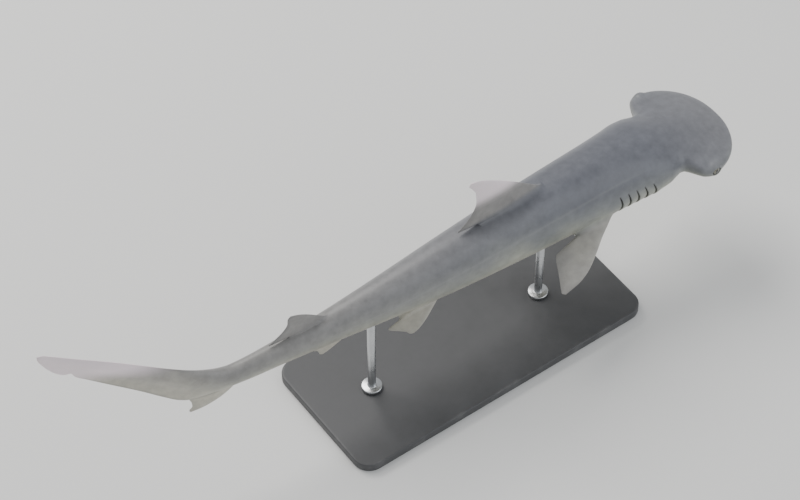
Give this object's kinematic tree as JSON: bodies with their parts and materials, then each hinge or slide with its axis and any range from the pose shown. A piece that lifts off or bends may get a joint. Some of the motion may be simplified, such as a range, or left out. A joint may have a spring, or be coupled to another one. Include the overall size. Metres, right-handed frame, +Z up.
{
  "type": "hammerhead shark model",
  "caption": "Life-size bonnethead shark, a small hammerhead with a flat shovel-shaped head, swimming with its tail swung to its left, held above a flat plate by slim upright rods.",
  "frame": {"origin": "centre of the underside of the stand's plate", "axes": "+X towards the snout, +Y to the shark's left, +Z up"},
  "size_m": [0.9118, 0.19, 0.2918],
  "materials": {
    "skin": "wet shark skin, grey above and cream below",
    "eye": "clear gloss over a dark eye",
    "stand_plate": "dark satin paint",
    "stand_rod": "brushed"
  },
  "bodies": {
    "root": {"head": "skin", "gill_region": "skin", "trunk": "skin", "tail": "skin", "first_dorsal_fin": "skin", "second_dorsal_fin": "skin", "anal_fin": "skin", "pectoral_fin_left": "skin", "pectoral_fin_right": "skin", "pelvic_fin_left": "skin", "pelvic_fin_right": "skin", "caudal_fin_upper_lobe": "skin", "caudal_fin_lower_lobe": "skin", "eye_left": "eye", "eye_right": "eye", "stand_base": "stand_plate", "stand_rod_front": "stand_rod", "stand_rod_rear": "stand_rod"}
  },
  "joints": []
}
